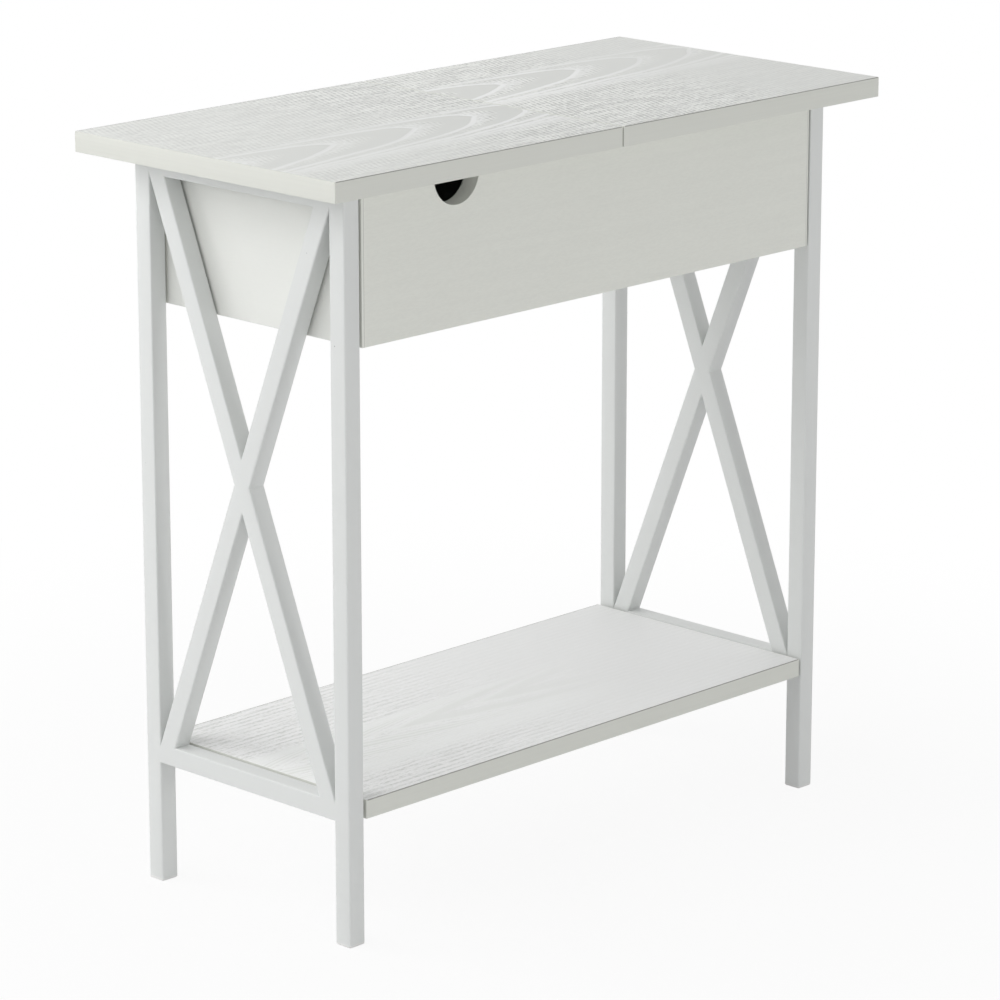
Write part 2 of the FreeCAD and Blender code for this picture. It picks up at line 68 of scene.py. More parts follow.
# Square lamps in metres, all aimed at one point of the table
Lamp = namedtuple("Lamp", "place size")
LAMPS = {
    "key": Lamp(place=(-2.8, 0.25, 2.15), size=2.0),
    "rear": Lamp(place=(-2.0, 2.6, 2.0), size=2.0),
    "front": Lamp(place=(0.2, -3.4, 0.3), size=0.6),
    "fill": Lamp(place=(3.4, 0.2, 1.2), size=2.4),
}
LAMP_TARGET = (0.0, 0.0, 0.3)

# The floor in metres: half its side, the radii between which it fades to white, and its white before that
FLOOR_REACH = 30.0
FLOOR_FADE = (0.3, 1.0)
FLOOR_WHITE = 0.90

# Arches of the grain in mm. Their tips point along +x (way 1) or -x (way -1) and lie a ring apart from
# start, on an axis that drifts in y. Crowding draws the rings together further along, and past the first
# ring each has a few more lines. The arms run back so many mm for each mm in front of the axis or behind it,
# and the arches fade out past an x.
Arches = namedtuple("Arches", "start way ring crowding more front back axis drift fade")

# Ripples of the grain: their pitch in mm and their turn from x in degrees. The relief of the grain is most
# within near mm of x = peak and least from far mm on.
Ripples = namedtuple("Ripples", "pitch turn peak near far most least")

Grain = namedtuple("Grain", "arches ripples contrast")
LID_GRAIN = Grain(
    Arches(start=-206, way=1, ring=72, crowding=-20, more=0,
           front=1.4, back=0.5, axis=-38, drift=0.045, fade=300),
    Ripples(pitch=4.4, turn=-23, peak=20, near=20, far=200, most=2.4, least=0.65),
    contrast=1.0)
FIXED_GRAIN = Grain(
    Arches(start=70, way=1, ring=77, crowding=-14, more=0,
           front=1.4, back=0.5, axis=52, drift=0.03, fade=300),
    Ripples(pitch=4.4, turn=-23, peak=50, near=50, far=190, most=2.2, least=0.3),
    contrast=1.0)
SHELF_GRAIN = Grain(
    Arches(start=-20, way=-1, ring=103, crowding=0, more=3,
           front=4.2, back=5.2, axis=-6, drift=-0.02, fade=0),
    Ripples(pitch=6.7, turn=90, peak=-250, near=50, far=330, most=1.7, least=0.2),
    contrast=0.85)

# The arms of all arches also bend back, by the fourth power of the way from the axis: the bend in mm at a
# span in mm, and about how steep it is there. The crowding rises and falls within so many rings.
FRONT_BEND = 12.0
FRONT_SPAN = 28.0
FRONT_STEEP = 1.7
BACK_BEND = 20.0
BACK_SPAN = 20.0
BACK_STEEP = 4.0
CROWDED_RINGS = 3

# Zones of a ring: the parts of the ring, and the mm in front of the axis and behind it, where each fades
Zone = namedtuple("Zone", "part front back")
LINE_ZONE = Zone(part=(0.86, 0.97), front=(45.0, 72.0), back=(24.0, 34.0))
FIELD_ZONE = Zone(part=(0.34, 0.52), front=(26.0, 44.0), back=(18.0, 28.0))
TIP_ZONE = Zone(part=(0.12, 0.36), front=(16.0, 34.0), back=(12.0, 22.0))

# Distances in mm: where a line fades out, where ripples begin beside it, and over which arches fade
LINE_EDGE = (1.2, 3.2)
LINE_CLEAR = (3.0, 8.0)
ARCH_FADE = 140.0

# Darkest and lightest tone of figured foil against its paint, and the depth of each pattern between the two
FOIL_DARK = 0.29
FOIL_LIGHT = 0.22
PORE_DEPTH = 0.16
PORE_PATCHES = 0.05
STREAK_DEPTH = 0.12
BESIDE_DEPTH = 0.1
RIPPLE_DEPTH = 0.2
RIPPLE_LEAST = 0.35
FIELD_CALM = 0.85
UNDER_RELIEF = 0.2

# Tones of the arches over the paint, and how their strength and the white of their tips vary
FIELD_TONE = 0.955
# Painted shade: the line shade darkens a band just behind each raised pale line, in place of the line's
# shadow
LINE_SHADE = 0.90
STRENGTH_LEAST = 0.4
STRENGTH_GAIN = 0.3
TIP_LEAST = 0.2
TIP_GAIN = 0.6

# Plain foil: noise scales along the grain and across it, the share of the pores, and the tones
PLAIN_PORES = (210.0, 750.0)
PLAIN_STREAKS = (7.0, 190.0)
PLAIN_PORE_SHARE = 0.6
PLAIN_DARK = 0.07
PLAIN_LIGHT = 0.06

# Specks in the powder coat: cells per metre, the part of a cell over which one fades, which cells have one
SPECK_CELLS = 26.0
SPECK_EDGE = (0.010, 0.018)
SPECK_CHANCE = (0.55, 0.56)
SPECK_TONE = 0.55

# The dark joint between foil and band: its depth on a long side, and its distance from the side's ends
LIP_EDGE = (0.25 * MM, 0.85 * MM)
LIP_ENDS = (0.8 * MM, 1.6 * MM)

# Banded ends of a long panel: where the band ends, and the place, half-width and share of the dark joint
PANEL_BAND = (1.4 * MM, 1.6 * MM)
PANEL_JOINT = 1.7 * MM
PANEL_JOINT_EDGE = (0.2 * MM, 0.5 * MM)
PANEL_JOINT_SHARE = 0.5
PANEL_BAND_TONE = 1.06

# Radius of a foiled slab's edges, and the cut at a band's corners over its thickness
SLAB_EDGE = 0.1 * MM
BAND_CORNER = 0.7

# A cross-head screw in radii of its head, and the rows and spokes of the head's grid
RECESS_DEPTH = 0.3
RECESS_REACH = 0.62
RECESS_HALF = 0.13
HEAD_DEPTH = 0.5
SHANK_RADIUS = 0.5
POINT_RADIUS = 0.05
POINT_LENGTH = 2
HEAD_ROWS = 22
HEAD_SPOKES = 72

# Faces that meet at less than this angle are shaded as one
SMOOTH_ANGLE = math.radians(35)


# Settings


def colour(name, description, default):
    return bpy.props.FloatVectorProperty(name=name, description=description, default=default,
                                         subtype="COLOR", size=3, min=0.0, max=1.0)


def length(name, description, default):
    return bpy.props.FloatProperty(name=name, description=description, default=default,
                                   unit="LENGTH", precision=5)


def level(name, description, default):
    return bpy.props.FloatProperty(name=name, description=description, default=default, min=0.0)


class FrameSettings(bpy.types.PropertyGroup):
    coat: colour("Powder coat", "Colour of the coated steel tube", (0.735, 0.75, 0.74))
    corner: length("Tube corner", "Radius of the long edges of the square tube", 1.5 * MM)
    ripple: length("Coat ripple", "Height of the fine ripple of the powder coat", 0.03 * MM)


class BoardSettings(bpy.types.PropertyGroup):
    top: colour("Top foil", "Colour of the foil on the lid and the fixed top", (0.808, 0.82, 0.792))
    # Painted light: the shelf has the same foil as the top, painted lighter to make up for the light that
    # the box above keeps off it
    shelf: colour("Shelf foil", "Colour of the foil on the shelf", (0.91, 0.925, 0.90))
    panel: colour("Panel foil", "Colour of the foil on the front and rear panels", (0.79, 0.80, 0.747))
    end: colour("End foil", "Colour of the foil on the end panels and the floor", (0.79, 0.80, 0.768))
    pale: colour("Grain lines", "Colour of the raised pale lines of the grain", (0.99, 1.0, 0.99))
    joint_tone: colour("Joint", "Colour in the joint between foil and edge band", (0.30, 0.30, 0.28))
    band: colour("Edge band", "Colour of the edge band of the boards", (0.715, 0.725, 0.675))
    thickness: length("Band thickness", "Thickness of the edge band", 0.5 * MM)
    joint: length("Band joint", "Width of the open joint along the front and rear bands", 0.3 * MM)
    arris: length("Arris", "Radius of the edges of the band", 0.4 * MM)
    emboss: length("Emboss", "Height of the embossed grain", 0.14 * MM)


class HardwareSettings(bpy.types.PropertyGroup):
    zinc: colour("Zinc", "Colour of the plated steel", (0.52, 0.52, 0.51))
    alloy: colour("Cam alloy", "Colour of the die-cast cams", (0.60, 0.60, 0.60))
    beech: colour("Beech", "Colour of the dowels", (0.70, 0.54, 0.36))
    plastic: colour("Plastic", "Colour of the feet", (0.72, 0.73, 0.72))


class StageSettings(bpy.types.PropertyGroup):
    floor: colour("Floor", "Colour of the floor", (0.86, 0.86, 0.86))
    horizon: level("Horizon", "Level of the light from all round at table height", 0.49)
    zenith: level("Zenith", "Level of the light from straight above", 0.54)
    key: level("Key", "Level of the high lamp on the left", 0.22)
    rear: level("Rear", "Level of the lamp behind on the left", 0.34)
    front: level("Front", "Level of the low lamp in front", 0.115)
    fill: level("Fill", "Level of the lamp on the right", 0.10)


class EndTableSettings(bpy.types.PropertyGroup):
    frame: bpy.props.PointerProperty(name="Frames", description="Steel end frames", type=FrameSettings)
    board: bpy.props.PointerProperty(name="Boards", description="Foiled boards", type=BoardSettings)
    hardware: bpy.props.PointerProperty(name="Hardware", description="Metal and plastic fittings",
                                        type=HardwareSettings)
    stage: bpy.props.PointerProperty(name="Stage", description="Floor and light", type=StageSettings)


# Shader values


class Value:
    """A socket of a node tree. Arithmetic on values adds Math nodes to the tree."""

    def __init__(self, tree, socket):
        self.tree = tree
        self.socket = socket

    def node(self, kind, settings, inputs, output=0):
        """Add a node: its settings first, then the values or links of its sockets."""
        node = self.tree.nodes.new(kind)
        for name, setting in settings.items():
            setattr(node, name, setting)
        for key, entry in inputs.items():
            if isinstance(entry, Value):
                self.tree.links.new(entry.socket, node.inputs[key])
            else:
                node.inputs[key].default_value = entry
        return Value(self.tree, node.outputs[output])

    def math(self, operation, *others):
        return self.node("ShaderNodeMath", {"operation": operation}, dict(enumerate((self, *others))))

    def __add__(self, other):
        return self.math("ADD", other)

    __radd__ = __add__

    def __sub__(self, other):
        return self.math("SUBTRACT", other)

    def __rsub__(self, other):
        return self.math("MULTIPLY_ADD", -1.0, other)

    def __mul__(self, other):
        return self.math("MULTIPLY", other)

    __rmul__ = __mul__

    def __truediv__(self, other):
        return self.math("DIVIDE", other)

    def __rtruediv__(self, other):
        return self.node("ShaderNodeMath", {"operation": "DIVIDE"}, {0: other, 1: self})

    def __abs__(self):
        return self.math("ABSOLUTE")

    def step(self, start, end):
        """A smooth step from 0 at start to 1 at end."""
        return self.node("ShaderNodeMapRange", {"interpolation_type": "SMOOTHSTEP"},
                         {"Value": self, "From Min": start, "From Max": end})

    def between(self, low, high):
        """Low where this value is 0, high where it is 1, and evenly between."""
        return low + (high - low) * self

    def mix(self, low, high):
        """The colour low where this value is 0 and high where it is 1."""
        low, high = [(*paint, 1.0) if isinstance(paint, tuple) else paint for paint in (low, high)]
        return self.node("ShaderNodeMix", {"data_type": "RGBA"}, {0: self, 6: low, 7: high}, output=2)

    def tint(self, paint, low, high):
        """A paint times low where this value is 0 and times high where it is 1."""
        return self.mix(shade(paint, low), shade(paint, high))

    def axis(self, name):
        return self.node("ShaderNodeSeparateXYZ", {}, {0: self}, output=name)

    def noise(self, scale, detail=2.0):
        """Noise on these coordinates, with a scale per metre along each axis or one for all three."""
        scales = (scale, scale, scale) if isinstance(scale, float) else scale
        place = self.node("ShaderNodeMapping", {}, {"Vector": self, "Scale": scales})
        return self.node("ShaderNodeTexNoise", {}, {"Vector": place, "Scale": 1.0, "Detail": detail})

    def swing(self, reach, scale, detail=2.0):
        """Noise about 0 that swings by half of reach each way."""
        return reach * (self.noise(scale, detail) - 0.5)


def shade(paint, factor):
    return tuple(min(1.0, channel * factor) for channel in paint)


def new_material(name):
    """A material with a Principled surface, and its Object coordinates as a value."""
    material = bpy.data.materials.new(name)
    material.use_nodes = True
    tree = material.node_tree
    coordinates = tree.nodes.new("ShaderNodeTexCoord")
    return material, Value(tree, coordinates.outputs["Object"])


def finish_material(material, inputs, height=None, distance=0.0):
    """Set or link sockets of the Principled surface; a height in 0 to 1 becomes a bump of that distance."""
    tree = material.node_tree
    surface = tree.nodes["Principled BSDF"]
    if height is not None:
        bump = height.node("ShaderNodeBump", {}, {"Height": height, "Distance": distance})
        inputs = {**inputs, "Normal": bump}
    for name, entry in inputs.items():
        if isinstance(entry, Value):
            tree.links.new(entry.socket, surface.inputs[name])
        else:
            surface.inputs[name].default_value = entry
    return material


# Finishes


def powder_coat(settings):
    """White powder coat: a fine ripple, slow tone changes and a few dust specks."""
    material, place = new_material("powder_coat")
    tone = place.noise(scale=9.0, detail=3.0)
    ripple = place.noise(scale=900.0, detail=1.0)
    cells = {"Vector": place, "Scale": SPECK_CELLS}
    away = place.node("ShaderNodeTexVoronoi", {}, cells)
    chance = place.node("ShaderNodeTexVoronoi", {}, cells, output="Color").axis("X")
    speck = (1.0 - away.step(*SPECK_EDGE)) * chance.step(*SPECK_CHANCE)
    base = speck.mix(tone.tint(settings.coat, low=0.985, high=1.015), shade(settings.coat, SPECK_TONE))
    return finish_material(material, {"Base Color": base, "Roughness": tone.between(0.36, 0.44)},
                           height=ripple, distance=settings.ripple)


Masks = namedtuple("Masks", "line field tip beside shaded clear")


def arch_masks(place, arches):
    """Masks: pale arch lines, flat fields, bright tips, the zone beside, painted shade at lines, clear of
    lines.

    Arches are where x' + front f + F (f / S) ** 4 + back b + B (b / T) ** 4 is a whole number of rings past
    the start. Here f and b are the mm in front of the axis and behind it, F, S, B and T the bends and spans,
    and x' is the way along with the rings crowded. A line's distance is the ring's remainder over the slope
    of that sum, and added lines are thinner.
    """
    jag = place.swing(reach=2.4, scale=(90.0, 220.0, 1.0))
    x = place.axis("X") / MM + place.swing(reach=12.0, scale=(13.0, 34.0, 1.0)) + jag
    y = place.axis("Y") / MM + place.swing(reach=7.0, scale=(9.0, 26.0, 1.0), detail=3.0) + jag
    run = (x - arches.start) * arches.way
    u = y - arches.axis - arches.drift * run
    front = (0.0 - u).math("MAXIMUM", 0.0)
    back = u.math("MAXIMUM", 0.0)
    reach = (arches.front * front + FRONT_BEND * (front / FRONT_SPAN).math("POWER", 4.0)
             + arches.back * back + BACK_BEND * (back / BACK_SPAN).math("POWER", 4.0))
    slope = (arches.back + (arches.front - arches.back) * u.math("LESS_THAN", 0.0)
             + FRONT_STEEP * (front / FRONT_SPAN).math("POWER", 3.0)
             + BACK_STEEP * (back / BACK_SPAN).math("POWER", 3.0))
    crowded = run + arches.crowding * (run * (math.pi / (CROWDED_RINGS * arches.ring))).math("SINE")
    ring = (crowded + reach) / arches.ring
    part = ring.math("FRACT")
    lined = ring + arches.more * (ring - 1.0).math("MAXIMUM", 0.0)
    pitch = arches.ring / (1.0 + arches.more * ring.math("GREATER_THAN", 1.0)).math("SQRT")
    off = abs(lined - lined.math("ROUND")) * pitch / (1.0 + slope * slope).math("SQRT")
    shown = 1.0 - x.step(arches.fade, arches.fade + ARCH_FADE)
    in_line, in_field, in_tip = ((1.0 - front.step(*zone.front)) * (1.0 - back.step(*zone.back))
                                 for zone in (LINE_ZONE, FIELD_ZONE, TIP_ZONE))
    return Masks(line=(1.0 - off.step(*LINE_EDGE)) * in_line * shown,
                 field=part.step(*FIELD_ZONE.part) * in_field * shown,
                 tip=(1.0 - part.step(*TIP_ZONE.part)) * in_tip * shown,
                 beside=(1.0 - in_line) * shown,
                 shaded=part.step(*LINE_ZONE.part) * in_line * shown,
                 clear=1.0 - (1.0 - off.step(*LINE_CLEAR)) * in_line * shown)


def ripples_and_relief(place, ripples):
    """Fine ripples from -1 to 1, and the relief of the grain along the board.

    The ripples are the sine of the way along their turn over the pitch. Noise makes them jagged, and
    fainter between patches.
    """
    jag = place.swing(reach=1.6, scale=(110.0, 160.0, 1.0))
    wave = place.swing(reach=5.0, scale=(9.0, 26.0, 1.0))
    x = place.axis("X") / MM
    y = place.axis("Y") / MM
    turn = math.radians(ripples.turn)
    along = math.cos(turn) * x + math.sin(turn) * y + jag + wave
    patch = place.noise(scale=(22.0, 60.0, 1.0)).step(start=0.35, end=0.6)
    ripple = (along * (2 * math.pi / ripples.pitch)).math("SINE") * patch.between(RIPPLE_LEAST, 1.0)
    relief = abs(x - ripples.peak).step(ripples.near, ripples.far).between(ripples.most, ripples.least)
    return ripple, relief


def figured_foil(node, paint, settings, grain):
    """White foil along X: arches and ripples on the upper face of a board, faint plain grain under it."""
    material, place = new_material(f"{node}_foil")
    low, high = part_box(node)
    upper = place.axis("Z").math("GREATER_THAN", (low.z + high.z) / 2)
    mask = arch_masks(place, grain.arches)
    ripple, relief = ripples_and_relief(place, grain.ripples)
    relief = relief * upper + UNDER_RELIEF * (1.0 - upper)
    strength = (STRENGTH_LEAST + STRENGTH_GAIN * relief).math("MINIMUM", 1.0) * grain.contrast * upper
    patch = place.noise(scale=(5.0, 16.0, 1.0)).step(start=0.35, end=0.65)
    pores = place.noise(scale=(240.0, 820.0, 1.0), detail=1.0).step(start=0.42, end=0.58)
    streaks = place.noise(scale=(36.0, 420.0, 1.0)).step(start=0.44, end=0.56)
    raised = ((pores - 0.5) * (PORE_DEPTH + BESIDE_DEPTH * mask.beside + PORE_PATCHES * patch)
              + (streaks - 0.5) * (STREAK_DEPTH + BESIDE_DEPTH * mask.beside)
              + RIPPLE_DEPTH * ripple * mask.clear)
    dark = shade(paint, 1.0 - FOIL_DARK * grain.contrast)
    light = shade(paint, 1.0 + FOIL_LIGHT * grain.contrast)
    # Where the paint's green lies between the two tones
    even = (paint[1] - dark[1]) / (light[1] - dark[1])
    flecks = even + raised * relief * (1.0 - FIELD_CALM * mask.field)
    base = (mask.field * strength).mix(flecks.mix(dark, light), shade(paint, FIELD_TONE))
    # Painted shade: a darker band just behind each raised pale line, in place of the line's shadow
    base = (mask.shaded * strength).mix(base, shade(paint, LINE_SHADE))
    white = mask.line.math("MAXIMUM", mask.tip * (TIP_LEAST + TIP_GAIN * pores)) * strength
    base = white.mix(base, tuple(settings.pale))
    return finish_material(material, {"Base Color": base, "Roughness": flecks.between(0.46, 0.54),
                                      "Specular IOR Level": 0.25},
                           height=(flecks + mask.line * upper) / 2,
                           distance=settings.emboss * grain.contrast)


def plain_foil(name, paint, settings, along, contrast, half=None):
    """White foil with fine straight grain along one axis, and banded ends on a panel 2 half long on X."""
    material, place = new_material(name)
    pore_scale, streak_scale = (tuple(scales[axis != along] for axis in "XYZ")
                                for scales in (PLAIN_PORES, PLAIN_STREAKS))
    pores = place.noise(pore_scale).step(start=0.35, end=0.65)
    streaks = place.noise(streak_scale, detail=4.0).step(start=0.3, end=0.7)
    flecks = pores * PLAIN_PORE_SHARE + streaks * (1.0 - PLAIN_PORE_SHARE)
    base = flecks.tint(paint, low=1.0 - PLAIN_DARK * contrast, high=1.0 + PLAIN_LIGHT * contrast)
    if half:
        edge = half - abs(place.axis("X"))
        joint = (1.0 - abs(edge - PANEL_JOINT).step(*PANEL_JOINT_EDGE)) * PANEL_JOINT_SHARE
        band = 1.0 - edge.step(*PANEL_BAND)
        base = band.mix(joint.mix(base, tuple(settings.joint_tone)), shade(paint, PANEL_BAND_TONE))
    return finish_material(material, {"Base Color": base, "Roughness": flecks.between(0.44, 0.54)},
                           height=flecks, distance=settings.emboss * contrast)


def edge_band(node, settings):
    """Smooth edge band, creamier than the foil: faint lines along it, a dark joint on top of long sides."""
    material, place = new_material(f"{node}_band")
    low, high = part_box(node)
    lines = place.noise(scale=(6.0, 6.0, 600.0), detail=3.0)
    lip = 1.0 - (high.z - place.axis("Z")).step(*LIP_EDGE)
    from_end = (high.x - low.x) / 2 - abs(place.axis("X") - (high.x + low.x) / 2)
    joint = lip * from_end.step(*LIP_ENDS)
    base = joint.mix(lines.tint(settings.band, low=0.97, high=1.03), tuple(settings.joint_tone))
    return finish_material(material, {"Base Color": base, "Roughness": lines.between(0.40, 0.48)},
                           height=lines, distance=0.03 * MM)


def plated_steel(settings):
    """Bright zinc plate with fine drawn lines and cloudy roughness."""
    material, place = new_material("plated_steel")
    drawn = place.noise(scale=(90.0, 2400.0, 2400.0))
    cloud = place.noise(scale=130.0, detail=3.0)
    base = cloud.tint(settings.zinc, low=0.90, high=1.06)
    return finish_material(material, {"Base Color": base, "Metallic": 1.0,
                                      "Roughness": cloud.between(0.24, 0.44)},
                           height=drawn, distance=0.02 * MM)


def cast_alloy(settings):
    """Dull die-cast alloy with a sandy grain."""
    material, place = new_material("cast_alloy")
    sand = place.noise(scale=1500.0)
    base = sand.tint(settings.alloy, low=0.85, high=1.08)
    return finish_material(material, {"Base Color": base, "Metallic": 0.9,
                                      "Roughness": sand.between(0.48, 0.60)},
                           height=sand, distance=0.05 * MM)


def bare_beech(settings):
    """Turned beech with short dark flecks along the peg."""
    material, place = new_material("bare_beech")
    flecks = place.noise(scale=(1200.0, 120.0, 1200.0))
    base = flecks.step(start=0.45, end=0.75).tint(settings.beech, low=1.06, high=0.78)
    return finish_material(material, {"Base Color": base, "Roughness": flecks.between(0.62, 0.72)},
                           height=flecks, distance=0.06 * MM)


def foot_plastic(settings):
    """Moulded plastic with a fine spark-eroded texture."""
    material, place = new_material("foot_plastic")
    grain = place.noise(scale=1300.0)
    base = grain.tint(settings.plastic, low=0.95, high=1.03)
    return finish_material(material, {"Base Color": base, "Roughness": grain.between(0.5, 0.6)},
                           height=grain, distance=0.04 * MM)


# Surfaces


def rounded_side(depth, radius, steps=4):
    """(inset, height) down the side of a slab: quarter circles at its top and bottom edges.

    For a in 0 to 90 degrees the upper one is inset r (1 - sin a), height depth / 2 - r (1 - cos a).
    """
    a = np.linspace(0, np.pi / 2, steps + 1)
    upper = np.stack([radius * (1 - np.sin(a)), depth / 2 - radius * (1 - np.cos(a))], 1)
    return np.concatenate([upper, upper[::-1] * (1, -1)])


def carried(loop, profile):
    """Carry a profile round a closed loop with mitred corners, as a (profile, loop, 3) grid.

    Point (k, i) is loop[i] + inset[k] m[i] at height[k], where m[i] is the sum of the left normals of the
    two sides at i over one plus their dot product.
    """
    loop = np.asarray(loop, float)
    side = np.roll(loop, -1, 0) - loop
    side /= np.linalg.norm(side, axis=1, keepdims=True)
    after = np.stack([-side[:, 1], side[:, 0]], 1)
    before = np.roll(after, 1, 0)
    mitre = (after + before) / (1 + (after * before).sum(1, keepdims=True))
    flat = loop[None] + profile[:, :1, None] * mitre[None]
    height = np.broadcast_to(profile[:, 1, None, None], (*flat.shape[:2], 1))
    return np.concatenate([flat, height], 2)


def grid_faces(rows, columns, closed=False):
    """Quads of a grid whose columns close on themselves, and its rows too where closed."""
    k, i = np.meshgrid(np.arange(rows if closed else rows - 1), np.arange(columns), indexing="ij")
    down = (k + 1) % rows * columns
    here = k * columns
    along = (i + 1) % columns
    return np.stack([down + i, down + along, here + along, here + i], -1).reshape(-1, 4)


def box_loop(low, high, corner=0.0):
    """Anticlockwise outline of a rectangle, with each corner cut at 45 degrees where corner isn't 0."""
    (x0, y0), (x1, y1) = low, high
    if not corner:
        return [(x0, y0), (x1, y0), (x1, y1), (x0, y1)]
    return [(x0 + corner, y0), (x1 - corner, y0), (x1, y0 + corner), (x1, y1 - corner),
            (x1 - corner, y1), (x0 + corner, y1), (x0, y1 - corner), (x0, y0 + corner)]


def put(name, points, faces, material, slot, body, replaced=()):
    """Make a piece from points and faces: shaded smooth across slight angles, riding a body."""
    mesh = bpy.data.meshes.new(name)
    mesh.from_pydata(np.asarray(points, float).reshape(-1, 3).tolist(), [], faces)
    mesh.shade_smooth()
    mesh.set_sharp_from_angle(angle=SMOOTH_ANGLE)
    mesh.materials.append(material)
    piece = bpy.data.objects.new(name, mesh)
    bpy.context.collection.objects.link(piece)
    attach(piece, body)
    if replaced:
        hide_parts(*replaced)
    return piece


def dress(material, *nodes):
    """Give carried-over solids their finish."""
    for node in nodes:
        mesh = frame["nodes"][node].data
        mesh.materials.clear()
        mesh.materials.append(material)


def frame_outline(side):
    """Outline and openings of an end frame in the y-z plane, from the boxes of its tubes.

    The braces' half-width over the cosine and the sine of their lean gives the corners at their crossing.
    """
    leg_low, leg_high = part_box(f"{side}_front_leg")
    rail_low, rail_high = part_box(f"{side}_lower_rail")
    top_low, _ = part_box(f"{side}_top_rail")
    tube = leg_high.y - leg_low.y
    out, inner, foot, top = -leg_low.y, -leg_high.y, leg_low.z, leg_high.z
    low, high = rail_high.z, top_low.z
    rise, middle = (high - low) / 2, (high + low) / 2
    lean = math.acos(tube / 2 / math.hypot(inner, rise)) - math.atan2(rise, inner)
    across, along = tube / 2 / math.cos(lean), tube / 2 / math.sin(lean)
    reach = inner - 2 * across
    outer = [(-out, foot), (-inner, foot), (-inner, rail_low.z), (inner, rail_low.z),
             (inner, foot), (out, foot), (out, top), (-out, top)]
    openings = [[(across, middle), (inner, high), (inner, low)],
                [(-across, middle), (-inner, low), (-inner, high)],
                [(0, middle + along), (-reach, high), (reach, high)],
                [(0, middle - along), (reach, low), (-reach, low)]]
    return [outer, *openings], (leg_low.x + leg_high.x) / 2, tube


def frame_surface(loops, x, tube, corner):
    """A frame as one coated skin: a rounded side carried round every loop, and two flat faces between.

    The ends of the legs are cut flat, so the points of the outer loop at foot height stay at that height.
    """
    grids = [carried(loop, rounded_side(tube, corner)) for loop in loops]
    foot = min(height for _, height in loops[0])
    grids[0][:, [height == foot for _, height in loops[0]], 1] = foot
    rows = len(grids[0])
    starts = np.cumsum([0] + [grid.shape[0] * grid.shape[1] for grid in grids])
    faces = [quad for grid, start in zip(grids, starts)
             for quad in (grid_faces(*grid.shape[:2]) + start).tolist()]
    for row, outward in ((0, 1), (rows - 1, -1)):
        rims = [grid[row] for grid in grids]
        index = np.concatenate([np.arange(grid.shape[1]) + row * grid.shape[1] + start
                                for grid, start in zip(grids, starts)])
        flat = np.concatenate(rims)
        triangles = np.array(tessellate_polygon([[tuple(point) for point in rim] for rim in rims]))
        a, b, c = (flat[triangles[:, vertex], :2] for vertex in range(3))
        turn = (b[:, 0] - a[:, 0]) * (c[:, 1] - a[:, 1]) - (b[:, 1] - a[:, 1]) * (c[:, 0] - a[:, 0])
        inward = turn * outward < 0
        triangles[inward] = triangles[inward][:, ::-1]
        faces += index[triangles].tolist()
    points = np.concatenate([grid.reshape(-1, 3) for grid in grids])
    return points[:, [2, 0, 1]] + (x, 0, 0), faces


def capped_faces(rows, columns):
    """Quads of a grid whose columns close on themselves, with a flat cap on its first and last rows."""
    last = (rows - 1) * columns
    caps = [list(range(columns)), list(range(last, last + columns))[::-1]]
    return grid_faces(rows, columns).tolist() + caps


def slab(low, high, radius):
    """A closed slab between two corners: a rounded side carried round a rectangle, with closed faces."""
    grid = carried(box_loop(low[:2], high[:2]), rounded_side(high[2] - low[2], radius))
    return grid + (0, 0, (low[2] + high[2]) / 2), capped_faces(*grid.shape[:2])


def band_ring(low, high, thickness, arris):
    """An edge band: a rounded strip as thick as the band, carried round the edge of a board."""
    side = rounded_side(high[2] - low[2], arris)
    inner = np.array([[thickness, side[0, 1]], [thickness, side[-1, 1]]])
    profile = np.concatenate([inner[:1], side, inner[1:]])
    grid = carried(box_loop(low[:2], high[:2], BAND_CORNER * thickness), profile)
    return grid + (0, 0, (low[2] + high[2]) / 2), grid_faces(*grid.shape[:2], closed=True).tolist()


def banded_board(node, body, settings, foil):
    """A board from the box of its solid: a foiled slab with an edge band round it."""
    low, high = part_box(node)
    thick = settings.thickness
    inset = np.array([thick, thick + settings.joint, 0.0])
    put(f"{node}_board", *slab(np.array(low) + inset, np.array(high) - inset, SLAB_EDGE), foil,
        "white_board", body, [node])
    put(f"{node}_edge_band", *band_ring(low, high, thick, settings.arris), edge_band(node, settings),
        "white_board", body)


def cross_screw(radius, deep):
    """A countersunk screw with a cross recess, as a polar grid with its axis on Z and its head at height 0.

    The recess has its depth where r is within its reach and the lesser of |x| and |y| within its half.
    Below the rim a cone runs to the shank, and another from there to the point.
    """
    head = np.linspace(POINT_RADIUS, 1.0, HEAD_ROWS)
    r = np.concatenate([head, [SHANK_RADIUS, SHANK_RADIUS, POINT_RADIUS]])[:, None] * radius
    turn = np.linspace(0, 2 * np.pi, HEAD_SPOKES, endpoint=False)[None]
    x, y = r * np.cos(turn), r * np.sin(turn)
    arms = np.minimum(np.abs(x), np.abs(y)) < RECESS_HALF * radius
    z = np.where(arms & (np.hypot(x, y) < RECESS_REACH * radius), -RECESS_DEPTH * radius, 0.0)
    z[HEAD_ROWS:] = np.array([-HEAD_DEPTH * radius, POINT_LENGTH * radius - deep, -deep])[:, None]
    return np.stack([x, y, z], -1)


